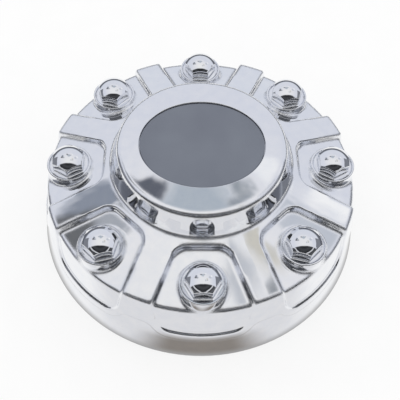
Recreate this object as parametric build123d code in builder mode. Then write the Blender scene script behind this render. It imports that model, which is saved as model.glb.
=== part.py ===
from build123d import *
import os
from math import asin, atan2, cos, degrees, hypot, radians, sin, sqrt, tan

# Push-on hubcap for an eight-stud wheel, in millimetres.
# +Z points out of the wheel and Z = 0 is the rim's foot.
# One plated moulding makes the dome, the spoked deck, the pockets with their nut covers, and the skirt.
# A blank oval plate lies in the dome's recess.

# Outline of the moulding, at its corners before they are rounded
rim_diameter = 210.0
deck_edge_diameter = 195.6
deck_edge_height = 49.2
dome_foot_diameter = 112.6
dome_foot_height = 58.4
dome_edge_diameter = 102.4
dome_edge_height = 74.0
dome_crown = 1.6
dome_edge_round = 3.4
dome_foot_round = 1.8
deck_edge_round = 2.2
wall = 2.5

# Pockets in the deck, one round each nut cover, which run over its edge as shallow panels in the skirt
nut_count = 8
stud_circle_diameter = 165.1
spoke_width = 17.6
pocket_inner_radius = 60.7
pocket_depth = 4.0
pocket_draft = 15.0
pocket_corner = 9.5
panel_depth = 1.5
panel_foot_height = 22.6
panel_foot_slope = 30.0
panel_corner = 11.0
pocket_lip_round = 1.5
pocket_floor_round = 1.2

# Step in the skirt: below a line that dips round each panel the skirt lies further in, down to the rim
step_height = 28.6
step_depth = 1.0
step_border = 5.0
step_corner = 7.0
step_lip_round = 0.5

# Nut covers: a round collar with a seat sunk in its top, and a domed hexagon standing in the seat
collar_diameter = 27.4
collar_height = 54.4
collar_round = 0.6
seat_diameter = 24.4
seat_depth = 1.4
nut_across_flats = 18.2
nut_height = 9.2
nut_dome_radius = 14.5
nut_corner_round = 0.8
nut_edge_round = 0.5

# Oval recess in the dome and the blank plate in it
badge_length = 76.0
badge_width = 65.0
badge_recess_depth = 1.8
badge_lip_round = 0.5
plate_thickness = 1.2
plate_clearance = 0.2
plate_edge_round = 0.4

# Hidden side: the land that seats on the wheel, snap barbs above it, and a rib under each spoke
land_height = 6.0
barb_start_height = 9.0
barb_length = 9.0
barb_nose = 2.0
barb_reach = 1.6
barb_width = 16.0
rib_thickness = 2.0
rib_foot_height = 41.0

# How near a point has to be to a surface to count as lying on it
touch = 0.01

# Corners of the outline as radius and height, and its straight walls from the axis outwards
rim_radius = rim_diameter / 2
stud_radius = stud_circle_diameter / 2
apex_height = dome_edge_height + dome_crown
dome_edge = (dome_edge_diameter / 2, dome_edge_height)
dome_foot = (dome_foot_diameter / 2, dome_foot_height)
deck_edge = (deck_edge_diameter / 2, deck_edge_height)
rim_foot = (rim_radius, 0)
top_line = ((0, dome_edge_height), dome_edge)
side_line = (dome_edge, dome_foot)
deck_line = (dome_foot, deck_edge)
skirt_line = (deck_edge, rim_foot)

# Nut covers start at -Y, and the outline is turned from a plane through a spoke
half_pitch = 180 / nut_count
first_nut_angle = -90
first_spoke_angle = first_nut_angle + half_pitch
spoke_turn = radians(first_spoke_angle)
spoke_plane = Plane(
    (0, 0, 0),
    x_dir=(cos(spoke_turn), sin(spoke_turn), 0),
    z_dir=(sin(spoke_turn), -cos(spoke_turn), 0),
)
deck_slope = atan2(dome_foot_height - deck_edge_height, (deck_edge_diameter - dome_foot_diameter) / 2)


def moved_in(line, inset):
    # Inward normal of a wall, and how far along that normal the wall lies once it is moved in
    (start_r, start_z), (end_r, end_z) = line
    length = hypot(end_r - start_r, end_z - start_z)
    normal_r, normal_z = (end_z - start_z) / length, (start_r - end_r) / length
    return normal_r, normal_z, normal_r * start_r + normal_z * start_z + inset


def meet(first, first_inset, second, second_inset):
    # Corner where two walls of the outline cross once each is moved in
    a, b, c = moved_in(first, first_inset)
    d, e, f = moved_in(second, second_inset)
    scale = a * e - b * d
    return ((c * e - b * f) / scale, (a * f - c * d) / scale)


def radius_on(line, inset, height):
    normal_r, normal_z, reach = moved_in(line, inset)
    return (reach - normal_z * height) / normal_r


def height_on(line, inset, radius):
    normal_r, normal_z, reach = moved_in(line, inset)
    return (reach - normal_r * radius) / normal_z


def corner_at(point):
    # The sketch's vertex that lies nearest to a point
    return vertices().sort_by_distance((point[0], point[1], 0))[0]


def pocket_space(grow):
    # Space of one pocket along +X, or with grow the same space and that much of the moulding round it.
    # Its outline is drawn above the deck, where the drafted walls have spread.
    rise = pocket_depth
    outward = Vector(sin(deck_slope), 0, cos(deck_slope))
    along = Vector(cos(deck_slope), 0, -sin(deck_slope))
    axis_point = Vector(0, 0, height_on(deck_line, 0, 0))
    plane = Plane(axis_point + outward * rise, x_dir=along, z_dir=outward)
    spread = rise * tan(radians(pocket_draft)) + grow
    side_slope = tan(radians(half_pitch)) * cos(deck_slope)
    side_drop = spoke_width / 2 / cos(radians(half_pitch)) - spread * sqrt(1 + side_slope**2)
    inner_end = pocket_inner_radius / cos(deck_slope) - spread
    outer_end = rim_diameter

    def outline(start):
        near = side_slope * start - side_drop
        far = side_slope * outer_end - side_drop
        return [(start, -near), (outer_end, -far), (outer_end, far), (start, near)]

    # The panel's part: the same side walls, cut off at the panel's foot with rounded lower corners
    foot_normal = Vector(sin(radians(panel_foot_slope)), 0, cos(radians(panel_foot_slope)))
    panel_foot = Vector(radius_on(skirt_line, 0, panel_foot_height), 0, panel_foot_height)
    foot_point = panel_foot - foot_normal * grow
    with BuildPart() as panel:
        with BuildSketch(plane):
            with BuildLine():
                Polyline(*outline(stud_radius), close=True)
            make_face()
        extrude(amount=-apex_height, taper=pocket_draft)
        split(bisect_by=Plane(foot_point, z_dir=foot_normal), keep=Keep.TOP)
        foot_face = faces().sort_by_distance(foot_point)[0]
        fillet(foot_face.edges().filter_by(Axis.Y, reverse=True), panel_corner + grow)

    # The deck's part with its arched inner end, and both parts kept above the pocket's floor
    floor_corner = meet(deck_line, pocket_depth + grow, skirt_line, panel_depth + grow)
    with BuildPart() as space:
        with BuildSketch(plane):
            with BuildLine():
                Polyline(*outline(inner_end), close=True)
            make_face()
            fillet(vertices().group_by(Axis.X)[0], pocket_corner + spread)
        extrude(amount=-(rise + 2 * (pocket_depth + grow)), taper=pocket_draft)
        add(panel.part)
        with BuildSketch(spoke_plane):
            with BuildLine():
                Polyline(
                    (0, height_on(deck_line, pocket_depth + grow, 0)),
                    floor_corner,
                    (radius_on(skirt_line, panel_depth + grow, 0), 0),
                    (rim_diameter, 0),
                    (rim_diameter, rim_diameter),
                    (0, rim_diameter),
                    close=True,
                )
            make_face()
            fillet(corner_at(floor_corner), deck_edge_round)
        revolve(axis=Axis.Z, mode=Mode.INTERSECT)
    return space.part


def lies_on(edge, deck_inset, skirt_inset):
    # True if both ends of an edge lie on the deck or the skirt moved in by those depths
    for end in (edge @ 0, edge @ 1):
        radius = hypot(end.X, end.Y)
        deck_gap = abs(end.Z - height_on(deck_line, deck_inset, radius))
        skirt_gap = abs(radius - radius_on(skirt_line, skirt_inset, end.Z))
        if min(deck_gap, skirt_gap) > touch:
            return False
    return True


def is_lip(edge):
    # Open edges on the outline whose middle lies clear of the spokes' centre lines
    middle = edge @ 0.5
    turn = (degrees(atan2(middle.Y, middle.X)) - first_spoke_angle) % (2 * half_pitch)
    offset = hypot(middle.X, middle.Y) * sin(radians(min(turn, 2 * half_pitch - turn)))
    return lies_on(edge, 0, 0) and not edge.is_closed and offset > spoke_width / 4


def is_floor_edge(edge):
    return lies_on(edge, pocket_depth, panel_depth) and edge.geom_type != GeomType.CIRCLE


# One pocket along +X with its floor blended into its walls, and the moulding's wall round it
with BuildPart() as pocket:
    add(pocket_space(0))
    fillet([edge for edge in edges() if is_floor_edge(edge)], pocket_floor_round)
pocket_walls = pocket_space(wall)

# Space outside the skirt below its step, which leaves a border round each panel
panel_border = pocket_space(step_border)
step_radius = radius_on(skirt_line, 0, step_height) - step_depth
with BuildPart() as skirt_step:
    with BuildSketch(spoke_plane):
        with BuildLine():
            Polyline(
                rim_foot,
                (step_radius, step_height),
                (rim_radius + wall, step_height),
                (rim_radius + wall, 0),
                close=True,
            )
        make_face()
    revolve(axis=Axis.Z)
    with PolarLocations(0, nut_count, start_angle=first_nut_angle):
        add(panel_border, mode=Mode.SUBTRACT)
    step_ends = edges().group_by(Axis.Z)[-1].filter_by(GeomType.CIRCLE, reverse=True)
    fillet(step_ends, step_corner)

# One nut cover along +X: the hexagon under its round cap, and the collar with its sunk seat
seat_height = collar_height - seat_depth
nut_top = collar_height + nut_height
cover_foot = deck_edge_height - 2 * pocket_depth
cap_reach = nut_across_flats / sqrt(3)
cap_angle = degrees(asin(cap_reach / nut_dome_radius))
nut_axis = Axis((stud_radius, 0, 0), (0, 0, 1))
nut_plane = Plane((stud_radius, 0, 0), x_dir=(1, 0, 0), z_dir=(0, -1, 0))
with BuildPart() as nut_cover:
    with BuildSketch(Plane((stud_radius, 0, cover_foot))):
        RegularPolygon(nut_across_flats / 2, 6, major_radius=False, rotation=30)
        fillet(vertices(), nut_corner_round)
    extrude(amount=nut_top - cover_foot)
    with BuildSketch(nut_plane):
        with BuildLine():
            cap = CenterArc((0, nut_top - nut_dome_radius), nut_dome_radius, 90, -cap_angle)
            Polyline(cap @ 1, (cap_reach, cover_foot), (0, cover_foot), cap @ 0)
        make_face()
    revolve(axis=nut_axis, mode=Mode.INTERSECT)
    cap_face = faces().filter_by(GeomType.SPHERE)[0]
    cap_rim = cap_face.edges().filter_by(lambda edge: max((edge @ 0).Z, (edge @ 1).Z) < nut_top)
    fillet(cap_rim, nut_edge_round)
    with BuildSketch(nut_plane):
        with BuildLine():
            Polyline(
                (0, cover_foot),
                (collar_diameter / 2, cover_foot),
                (collar_diameter / 2, collar_height),
                (seat_diameter / 2, collar_height),
                (seat_diameter / 2, seat_height),
                (0, seat_height),
                close=True,
            )
        make_face()
        fillet(vertices().group_by(Axis.Y)[-1], collar_round)
    revolve(axis=nut_axis)
bottom = (Align.CENTER, Align.CENTER, Align.MIN)
with BuildPart() as nut_hollow:
    with Locations((stud_radius, 0, cover_foot)):
        Cylinder(collar_diameter / 2 - wall, seat_height - wall - cover_foot, align=bottom)
        Cylinder(nut_across_flats / 2 - wall, nut_top - 2 * wall - cover_foot, align=bottom)

# Recess in the dome, whose floor lies below the crown's surface at the oval's ends
crown_radius = (dome_edge[0] ** 2 + dome_crown**2) / (2 * dome_crown)
crown_drop = crown_radius - sqrt(crown_radius**2 - (badge_length / 2) ** 2)
recess_floor = apex_height - crown_drop - badge_recess_depth
with BuildPart() as badge_recess:
    with BuildSketch(Plane.XY.offset(recess_floor)):
        Ellipse(badge_length / 2, badge_width / 2)
    extrude(amount=badge_recess_depth + crown_drop + dome_crown)
with BuildPart() as recess_backing:
    with BuildSketch(Plane.XY.offset(recess_floor - wall)):
        Ellipse(badge_length / 2 + wall, badge_width / 2 + wall)
    extrude(amount=badge_recess_depth + crown_drop + wall)

# Snap barb and rib along +X, on the skirt's and the deck's hidden side
barb_middle = barb_start_height + barb_length / 2
barb_end_height = barb_start_height + barb_length
barb_radius = radius_on(skirt_line, wall, barb_middle) - barb_reach
with BuildPart() as barb:
    with BuildSketch(Plane.XZ):
        with BuildLine():
            Polyline(
                (radius_on(skirt_line, wall / 2, barb_start_height), barb_start_height),
                (barb_radius, barb_middle - barb_nose / 2),
                (barb_radius, barb_middle + barb_nose / 2),
                (radius_on(skirt_line, wall / 2, barb_end_height), barb_end_height),
                close=True,
            )
        make_face()
    extrude(amount=barb_width / 2, both=True)
inner_foot = meet(side_line, wall, deck_line, wall)
with BuildPart() as rib:
    with BuildSketch(Plane.XZ):
        with BuildLine():
            Polyline(
                (inner_foot[0] - wall, rib_foot_height),
                (rim_radius, rib_foot_height),
                (rim_radius, inner_foot[1]),
                (inner_foot[0] - wall, inner_foot[1]),
                close=True,
            )
        make_face()
    extrude(amount=rib_thickness / 2, both=True)

# Space inside the moulding, down to the land at the rim's foot
inner_edge = meet(top_line, wall, side_line, wall)
inner_deck_edge = meet(deck_line, wall, skirt_line, wall)
land_radius = radius_on(skirt_line, wall, land_height)
with BuildPart() as hollow:
    with BuildSketch(spoke_plane):
        with BuildLine():
            TangentArc((0, apex_height - wall), inner_edge, tangent=(1, 0))
            Polyline(
                inner_edge,
                inner_foot,
                inner_deck_edge,
                (land_radius, land_height),
                (land_radius, 0),
                (0, 0),
                (0, apex_height - wall),
            )
        make_face()
    revolve(axis=Axis.Z)
    with PolarLocations(0, nut_count, start_angle=first_nut_angle):
        add(pocket_walls, mode=Mode.SUBTRACT)
        add(nut_hollow.part)
    with PolarLocations(0, nut_count, start_angle=first_spoke_angle):
        add(barb.part, mode=Mode.SUBTRACT)
        add(rib.part, mode=Mode.SUBTRACT)
    add(recess_backing.part, mode=Mode.SUBTRACT)

# The moulding: turned outline, pockets with rounded lips, step, nut covers, recess and the hidden side
with BuildPart() as cap_shell:
    with BuildSketch(spoke_plane):
        with BuildLine():
            TangentArc((0, apex_height), dome_edge, tangent=(1, 0))
            Polyline(dome_edge, dome_foot, deck_edge, rim_foot, (0, 0), (0, apex_height))
        make_face()
        fillet(corner_at(dome_edge), dome_edge_round)
        fillet(corner_at(dome_foot), dome_foot_round)
        fillet(corner_at(deck_edge), deck_edge_round)
    revolve(axis=Axis.Z)
    with PolarLocations(0, nut_count, start_angle=first_nut_angle):
        add(pocket.part, mode=Mode.SUBTRACT)
    fillet([edge for edge in edges() if is_lip(edge)], pocket_lip_round)
    add(skirt_step.part, mode=Mode.SUBTRACT)
    step_lip = [edge for edge in edges(Select.LAST) if lies_on(edge, 0, 0) and edge.center().Z > touch]
    fillet(step_lip, step_lip_round)
    with PolarLocations(0, nut_count, start_angle=first_nut_angle):
        add(nut_cover.part)
    add(badge_recess.part, mode=Mode.SUBTRACT)
    recess_rim = edges(Select.LAST).group_by(Axis.Z)[-1]
    fillet(recess_rim, badge_lip_round)
    add(hollow.part, mode=Mode.SUBTRACT)

# Blank plate, lying on the recess's floor
with BuildPart() as badge_plate:
    with BuildSketch(Plane.XY.offset(recess_floor)):
        Ellipse(badge_length / 2 - plate_clearance, badge_width / 2 - plate_clearance)
    extrude(amount=plate_thickness)
    fillet(edges().group_by(Axis.Z)[-1], plate_edge_round)

cap_shell.part.label = "cap_shell"
badge_plate.part.label = "badge_plate"
os.makedirs("parts", exist_ok=True)
export_step(cap_shell.part, "parts/cap_shell.step")
export_step(badge_plate.part, "parts/badge_plate.step")
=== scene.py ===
import bpy
from math import cos, radians, sin
from mathutils import Matrix, Vector

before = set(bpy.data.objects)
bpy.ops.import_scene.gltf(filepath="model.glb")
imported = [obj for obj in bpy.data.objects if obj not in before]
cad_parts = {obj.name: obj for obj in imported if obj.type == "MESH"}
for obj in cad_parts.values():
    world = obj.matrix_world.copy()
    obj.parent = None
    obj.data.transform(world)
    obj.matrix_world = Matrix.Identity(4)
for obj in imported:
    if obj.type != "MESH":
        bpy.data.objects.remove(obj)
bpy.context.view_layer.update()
scene = bpy.context.scene


def addNode(tree, kind, **settings):
    node = tree.nodes.new(kind)
    for key, value in settings.items():
        setattr(node, key, value)
    return node


def newGroup(name, outputs, inputs):
    tree = bpy.data.node_groups.new(name, "ShaderNodeTree")
    for socketName, socketType in outputs:
        tree.interface.new_socket(socketName, in_out="OUTPUT", socket_type=socketType)
    for socketName in inputs:
        tree.interface.new_socket(socketName, in_out="INPUT", socket_type="NodeSocketFloat")
    return tree, addNode(tree, "NodeGroupInput"), addNode(tree, "NodeGroupOutput")


def useGroup(tree, group, **values):
    node = addNode(tree, "ShaderNodeGroup", node_tree=group)
    for name, value in values.items():
        node.inputs[name].default_value = value
    return node


def mathNode(tree, operation, *values):
    node = addNode(tree, "ShaderNodeMath", operation=operation)
    for socket, value in zip(node.inputs, values):
        if isinstance(value, (int, float)):
            socket.default_value = value
        else:
            tree.links.new(value, socket)
    return node.outputs[0]


def ramp(tree, factor, stops):
    node = addNode(tree, "ShaderNodeValToRGB")
    tree.links.new(factor, node.inputs[0])
    elements = node.color_ramp.elements
    while len(elements) < len(stops):
        elements.new(1.0)
    for element, (place, colour) in zip(elements, stops):
        element.position = place
        element.color = (*colour, 1)
    return node.outputs[0]


def noise(tree, vector, scale, detail):
    node = addNode(tree, "ShaderNodeTexNoise")
    node.inputs["Scale"].default_value = scale
    node.inputs["Detail"].default_value = detail
    tree.links.new(vector, node.inputs["Vector"])
    return node.outputs[0]


def bumpNode(tree, height, strength, distance):
    node = addNode(tree, "ShaderNodeBump")
    node.inputs["Distance"].default_value = distance
    tree.links.new(strength, node.inputs["Strength"])
    tree.links.new(height, node.inputs["Height"])
    return node


# Rises from 0 at low to 1 at high, or falls where low is the larger one
def smooth(tree, value, low, high):
    node = addNode(tree, "ShaderNodeMapRange", interpolation_type="SMOOTHSTEP")
    tree.links.new(value, node.inputs["Value"])
    node.inputs["From Min"].default_value = low
    node.inputs["From Max"].default_value = high
    return node.outputs[0]


def blend(tree, factor, first, second):
    node = addNode(tree, "ShaderNodeMix", data_type="RGBA")
    tree.links.new(factor, node.inputs["Factor"])
    for socket, value in zip((node.inputs[6], node.inputs[7]), (first, second)):  # the colour sockets
        if isinstance(value, tuple):
            socket.default_value = (*value, 1)
        else:
            tree.links.new(value, socket)
    return node.outputs[2]


def splitPlace(tree, place):
    node = addNode(tree, "ShaderNodeSeparateXYZ")
    tree.links.new(place, node.inputs[0])
    return node.outputs


def newMaterial(name):
    material = bpy.data.materials.new(name)
    material.use_nodes = True
    return material, material.node_tree, material.node_tree.nodes["Principled BSDF"]


def linkFinish(tree, finish, shader):
    for source, target in (("Colour", "Base Color"), ("Roughness", "Roughness"), ("Normal", "Normal")):
        tree.links.new(finish.outputs[source], shader.inputs[target])


def dress(node, material):
    node.data.materials.clear()
    node.data.materials.append(material)
    for polygon in node.data.polygons:
        polygon.material_index = 0


finishOutputs = (
    ("Colour", "NodeSocketColor"),
    ("Roughness", "NodeSocketFloat"),
    ("Normal", "NodeSocketVector"),
)

# Bright plating of the moulding, in metres; each pair of places is where a mask starts and ends
plating = {
    "ripple": 0.02,
    "rippleScale": 38.0,
    "rippleDepth": 0.001,
    "film": 0.06,
    "filmScale": 160.0,
    "colours": ((0.3, (0.83, 0.845, 0.88)), (0.7, (0.88, 0.885, 0.90))),
    "softEdge": 0.0036,
    "softEdgeSamples": 8,
    "nutCoverHeights": (0.0525, 0.0535),
    "nutCoverRadii": (0.060, 0.064),
    "recessRadii": (0.0385, 0.0425),
    "skirtHeights": (0.039, 0.045),
    "skirtShare": 0.4,
}


# How soft the moulding's edges are: most on the dome and the deck, less on the skirt,
# and not at all at the plate and the nut covers
def makeSoftEdgeGroup():
    tree, entry, result = newGroup("softEdge", (("Rounding", "NodeSocketFloat"),), ("Radius",))
    place = addNode(tree, "ShaderNodeTexCoord").outputs["Object"]
    height = splitPlace(tree, place)["Z"]
    flat = addNode(tree, "ShaderNodeVectorMath", operation="MULTIPLY")
    tree.links.new(place, flat.inputs[0])
    flat.inputs[1].default_value = (1, 1, 0)
    length = addNode(tree, "ShaderNodeVectorMath", operation="LENGTH")
    tree.links.new(flat.outputs[0], length.inputs[0])
    radius = length.outputs["Value"]
    proud = smooth(tree, height, *plating["nutCoverHeights"])
    outside = smooth(tree, radius, *plating["nutCoverRadii"])
    offNutCovers = mathNode(tree, "SUBTRACT", 1.0, mathNode(tree, "MULTIPLY", proud, outside))
    offRecess = smooth(tree, radius, *plating["recessRadii"])
    share = plating["skirtShare"]
    above = smooth(tree, height, *plating["skirtHeights"])
    offSkirt = mathNode(tree, "MULTIPLY_ADD", above, 1 - share, share)
    where = mathNode(tree, "MULTIPLY", mathNode(tree, "MULTIPLY", offNutCovers, offRecess), offSkirt)
    rounding = mathNode(tree, "MULTIPLY", where, entry.outputs["Radius"])
    tree.links.new(rounding, result.inputs["Rounding"])
    return tree


# Slow ripples of the plating, a faint film on it, and its soft edges
def makePlatingGroup():
    tree, entry, result = newGroup("platingFinish", finishOutputs, ("Ripple", "Film", "Rounding"))
    place = addNode(tree, "ShaderNodeTexCoord").outputs["Object"]
    slow = noise(tree, place, plating["rippleScale"], 1.0)
    film = noise(tree, place, plating["filmScale"], 4.0)
    bump = bumpNode(tree, slow, entry.outputs["Ripple"], plating["rippleDepth"])
    soft = addNode(tree, "ShaderNodeBevel", samples=plating["softEdgeSamples"])
    tree.links.new(entry.outputs["Rounding"], soft.inputs["Radius"])
    tree.links.new(soft.outputs[0], bump.inputs["Normal"])
    tree.links.new(ramp(tree, film, plating["colours"]), result.inputs["Colour"])
    tree.links.new(mathNode(tree, "MULTIPLY", film, entry.outputs["Film"]), result.inputs["Roughness"])
    tree.links.new(bump.outputs[0], result.inputs["Normal"])
    return tree


platingMaterial, tree, shader = newMaterial("brightPlating")
finish = useGroup(tree, makePlatingGroup(), Ripple=plating["ripple"], Film=plating["film"])
edges = useGroup(tree, makeSoftEdgeGroup(), Radius=plating["softEdge"])
tree.links.new(edges.outputs["Rounding"], finish.inputs["Rounding"])
shader.inputs["Metallic"].default_value = 1.0
linkFinish(tree, finish, shader)
dress(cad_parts["cap_shell"], platingMaterial)
print("plated moulding dressed")

# Satin grey of the blank plate
satin = {
    "grain": 0.3,
    "grainScale": 2600.0,
    "grainDepth": 0.0001,
    "cloudScale": 30.0,
    "colours": ((0.3, (0.19, 0.205, 0.245)), (0.7, (0.225, 0.245, 0.285))),
    "roughness": 0.3,
    "grainRoughness": 0.12,
    "metallic": 0.55,
}


# Fine grain of the satin plate
def makeSatinGroup():
    tree, entry, result = newGroup("satinGrain", finishOutputs, ("Grain",))
    place = addNode(tree, "ShaderNodeTexCoord").outputs["Object"]
    grain = noise(tree, place, satin["grainScale"], 3.0)
    cloud = noise(tree, place, satin["cloudScale"], 2.0)
    rough = mathNode(tree, "MULTIPLY_ADD", grain, satin["grainRoughness"], satin["roughness"])
    bump = bumpNode(tree, grain, entry.outputs["Grain"], satin["grainDepth"])
    tree.links.new(ramp(tree, cloud, satin["colours"]), result.inputs["Colour"])
    tree.links.new(rough, result.inputs["Roughness"])
    tree.links.new(bump.outputs[0], result.inputs["Normal"])
    return tree


satinMaterial, tree, shader = newMaterial("satinGrey")
finish = useGroup(tree, makeSatinGroup(), Grain=satin["grain"])
shader.inputs["Metallic"].default_value = satin["metallic"]
linkFinish(tree, finish, shader)
dress(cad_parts["badge_plate"], satinMaterial)
print("blank plate dressed")


def direction(azimuth, elevation):
    a, e = radians(azimuth), radians(elevation)
    return Vector((sin(a) * cos(e), -cos(a) * cos(e), sin(e)))


# Turns a plane or a camera so that its back points along a direction
def turnTo(back):
    across = Vector((0, 0, 1)).cross(back).normalized()
    return Matrix((across, back.cross(across), back)).transposed()


def addPlane(name, width, height):
    mesh = bpy.data.meshes.new(name)
    x, y = width / 2, height / 2
    mesh.from_pydata([(-x, -y, 0), (x, -y, 0), (x, y, 0), (-x, y, 0)], [], [(0, 1, 2, 3)])
    plane = bpy.data.objects.new(name, mesh)
    scene.collection.objects.link(plane)
    return plane


# Floor, near white, which keeps the cap's shadow
# Reflections see it with painted shade and a painted shadow before the front of the rim, and a painted
# contact shadow at the rim's foot
floorLook = {
    "width": 8.0,
    "paper": (0.985, 0.995),
    "paperScale": 40.0,
    # painted shade: a grey tone of the floor before the cap's front, seen only in reflections
    "paintedFrontShade": (0.80, 0.80, 0.815),
    # painted shadow close before the rim's front, seen only in reflections; its reach and width follow
    "shadow": (0.28, 0.255, 0.23),
    "shadowReach": (0.121, 0.115),
    "shadowWidth": (0.052, 0.020),
    "sides": (-0.102, -0.072),
    # painted contact shadow: a ring at the rim's foot, seen only in reflections
    "paintedContactShadow": (0.42, 0.415, 0.41),
    "paintedContactShadowReach": (0.1092, 0.1040),
    "glow": 0.75,
    "glowInReflections": 0.17,  # added to the glow
    "roughness": 0.9,
}
floor = addPlane("floor", floorLook["width"], floorLook["width"])
floorMaterial, tree, shader = newMaterial("paleFloor")
place = addNode(tree, "ShaderNodeTexCoord").outputs["Object"]
parts = splitPlace(tree, place)
length = addNode(tree, "ShaderNodeVectorMath", operation="LENGTH")
tree.links.new(place, length.inputs[0])
away = length.outputs["Value"]
low, high = floorLook["paper"]
grain = noise(tree, place, floorLook["paperScale"], 3.0)
paper = ramp(tree, grain, ((0.3, (low, low, low)), (0.7, (high, high, high))))
# Painted shade and painted shadows on the floor for reflections: the front shade, a darker painted shadow
# close before the rim's front, and a painted contact shadow at the rim's foot
near = smooth(tree, away, *floorLook["shadowReach"])
middle = smooth(tree, mathNode(tree, "ABSOLUTE", parts["X"]), *floorLook["shadowWidth"])
shade = blend(tree, mathNode(tree, "MULTIPLY", near, middle), floorLook["paintedFrontShade"], floorLook["shadow"])
shade = blend(tree, smooth(tree, parts["Y"], *floorLook["sides"]), shade, paper)
# painted contact shadow at the rim's foot
shade = blend(tree, smooth(tree, away, *floorLook["paintedContactShadowReach"]), shade, floorLook["paintedContactShadow"])
# The camera sees plain paper, and reflections see the painted shade and shadows
reflected = addNode(tree, "ShaderNodeLightPath").outputs["Is Glossy Ray"]
seen = blend(tree, reflected, paper, shade)
glow = mathNode(tree, "MULTIPLY_ADD", reflected, floorLook["glowInReflections"], floorLook["glow"])
lit = addNode(tree, "ShaderNodeVectorMath", operation="SCALE")
tree.links.new(seen, lit.inputs[0])
tree.links.new(mathNode(tree, "SUBTRACT", 1.0, glow), lit.inputs["Scale"])
tree.links.new(lit.outputs[0], shader.inputs["Base Color"])
tree.links.new(seen, shader.inputs["Emission Color"])
tree.links.new(glow, shader.inputs["Emission Strength"])
shader.inputs["Roughness"].default_value = floorLook["roughness"]
shader.inputs["Specular IOR Level"].default_value = 0.0
floor.data.materials.append(floorMaterial)
print("floor laid")

# Dark cards at the sides that show only in reflections
cards = {
    "azimuths": {"card_left": -95, "card_right": 95},
    "elevation": 25,
    "distance": 2.0,
    "width": 1.5,
    "height": 0.7,
    "colour": (0.22, 0.23, 0.26),
}
for name, azimuth in cards["azimuths"].items():
    card = addPlane(name, cards["width"], cards["height"])
    back = direction(azimuth, cards["elevation"])
    card.matrix_world = Matrix.Translation(back * cards["distance"]) @ turnTo(back).to_4x4()
    cardMaterial = bpy.data.materials.new(name)
    cardMaterial.use_nodes = True
    tree = cardMaterial.node_tree
    tree.nodes.clear()
    emission = addNode(tree, "ShaderNodeEmission")
    emission.inputs["Color"].default_value = (*cards["colour"], 1)
    output = addNode(tree, "ShaderNodeOutputMaterial")
    tree.links.new(emission.outputs[0], output.inputs[0])
    card.data.materials.append(cardMaterial)
    card.visible_camera = False
    card.visible_diffuse = False
    card.visible_shadow = False
    card.visible_transmission = False
print("cards set")

# White surround for the camera and the floor, and a studio sky for reflections
# Back and front give the sky's colours by height; each patch is a soft spot of light or shade in the back
studio = {
    "back": (
        (0.0, (0.10, 0.105, 0.125)),
        (0.20, (0.16, 0.17, 0.20)),
        (0.30, (0.74, 0.77, 0.84)),
        (0.56, (0.74, 0.76, 0.83)),
        (0.70, (0.74, 0.76, 0.83)),
        (0.93, (0.86, 0.86, 0.88)),
        (1.0, (0.90, 0.90, 0.90)),
    ),
    "front": (
        (0.0, (0.95, 0.95, 0.94)),
        (0.05, (0.90, 0.90, 0.88)),
        (0.08, (0.010, 0.010, 0.012)),
        (0.28, (0.020, 0.021, 0.024)),
        (0.50, (0.120, 0.125, 0.137)),
        (0.64, (0.040, 0.042, 0.047)),
        (0.66, (0.66, 0.67, 0.70)),
        (0.70, (0.66, 0.67, 0.70)),
        (0.72, (0.020, 0.021, 0.024)),
        (0.85, (0.060, 0.062, 0.068)),
        (0.95, (0.020, 0.021, 0.024)),
        (1.0, (0.5, 0.5, 0.5)),
    ),
    "turn": (-0.20, -0.28),
    "wobbleScale": 11.0,
    "wobble": 0.14,
    "patches": (
        {"towards": (0.0, 0.44, 0.90), "inner": 0.07, "outer": 0.17, "colour": (0.46, 0.51, 0.57)},
        {"towards": (0.13, 0.47, 0.87), "inner": 0.02, "outer": 0.055, "colour": (0.33, 0.36, 0.40)},
        {"towards": (-0.15, 0.50, 0.855), "inner": 0.03, "outer": 0.07, "colour": (0.13, 0.14, 0.17)},
        {"towards": (0.19, 0.55, 0.81), "inner": 0.02, "outer": 0.06, "colour": (0.92, 0.93, 0.95)},
        {"towards": (-0.46, 0.395, 0.79), "inner": 0.05, "outer": 0.10, "colour": (0.28, 0.31, 0.37)},
        {"towards": (-0.40, 0.27, 0.875), "inner": 0.05, "outer": 0.10, "colour": (0.42, 0.44, 0.48)},
        {"towards": (-0.50, 0.30, 0.81), "inner": 0.06, "outer": 0.10, "colour": (0.16, 0.165, 0.175)},
        {"towards": (0.56, 0.41, 0.72), "inner": 0.04, "outer": 0.09, "colour": (1.0, 1.0, 1.0)},
        {"towards": (0.48, 0.30, 0.825), "inner": 0.07, "outer": 0.11, "colour": (0.58, 0.61, 0.67)},
        {"towards": (0.30, 0.14, 0.945), "inner": 0.03, "outer": 0.08, "colour": (0.64, 0.62, 0.56)},
        {"towards": (0.33, 0.05, 0.943), "inner": 0.02, "outer": 0.055, "colour": (0.33, 0.35, 0.38)},
        {"towards": (0.20, 0.03, 0.98), "inner": 0.03, "outer": 0.09, "colour": (0.58, 0.60, 0.64)},
    ),
}
world = bpy.data.worlds.new("studio")
scene.world = world
world.use_nodes = True
tree = world.node_tree
tree.nodes.clear()
heading = addNode(tree, "ShaderNodeTexCoord").outputs["Generated"]
parts = splitPlace(tree, heading)
wobble = noise(tree, heading, studio["wobbleScale"], 3.0).node.outputs["Color"]
drift = addNode(tree, "ShaderNodeVectorMath", operation="MULTIPLY_ADD")
tree.links.new(wobble, drift.inputs[0])
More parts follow.
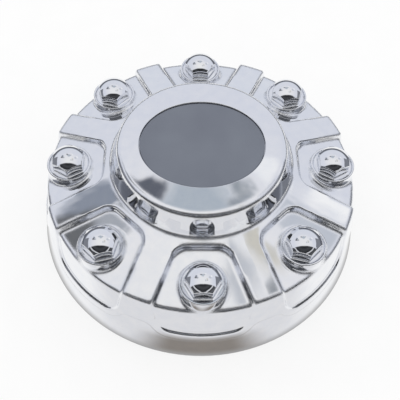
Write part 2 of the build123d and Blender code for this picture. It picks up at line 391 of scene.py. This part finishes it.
drift.inputs[1].default_value = Vector((1, 1, 1)) * studio["wobble"]
tree.links.new(heading, drift.inputs[2])
middleDrift = Vector((1, 1, 1)) * studio["wobble"] / 2
colour = ramp(tree, parts["Z"], studio["back"])
for patch in studio["patches"]:
    gap = addNode(tree, "ShaderNodeVectorMath", operation="DISTANCE")
    tree.links.new(drift.outputs[0], gap.inputs[0])
    gap.inputs[1].default_value = Vector(patch["towards"]) + middleDrift
    inside = smooth(tree, gap.outputs["Value"], patch["outer"], patch["inner"])
    colour = blend(tree, inside, colour, patch["colour"])
frontSky = ramp(tree, parts["Z"], studio["front"])
colour = blend(tree, smooth(tree, parts["Y"], *studio["turn"]), colour, frontSky)
sky = addNode(tree, "ShaderNodeBackground")
tree.links.new(colour, sky.inputs["Color"])
white = addNode(tree, "ShaderNodeBackground")
white.inputs["Color"].default_value = (1, 1, 1, 1)
choice = addNode(tree, "ShaderNodeMixShader")
reflected = addNode(tree, "ShaderNodeLightPath").outputs["Is Glossy Ray"]
tree.links.new(reflected, choice.inputs[0])
tree.links.new(white.outputs[0], choice.inputs[1])
tree.links.new(sky.outputs[0], choice.inputs[2])
output = addNode(tree, "ShaderNodeOutputWorld")
tree.links.new(choice.outputs[0], output.inputs[0])
print("studio lit")

# Camera
view = {
    "azimuth": -2.44,
    "elevation": 56.35,
    "roll": 2.27,
    "distance": 0.43173,
    "aim": (0.00003, 0, 0.01282),
    "lens": 57.07,
    "sensor": 36.0,
    "clipStart": 0.01,
}
camera = bpy.data.objects.new("camera", bpy.data.cameras.new("camera"))
scene.collection.objects.link(camera)
scene.camera = camera
camera.data.sensor_width = view["sensor"]
camera.data.lens = view["lens"]
camera.data.clip_start = view["clipStart"]
back = direction(view["azimuth"], view["elevation"])
turn = (turnTo(back) @ Matrix.Rotation(radians(view["roll"]), 3, "Z")).to_4x4()
camera.matrix_world = Matrix.Translation(Vector(view["aim"]) + back * view["distance"]) @ turn
scene.view_settings.view_transform = "Standard"
print("camera set")
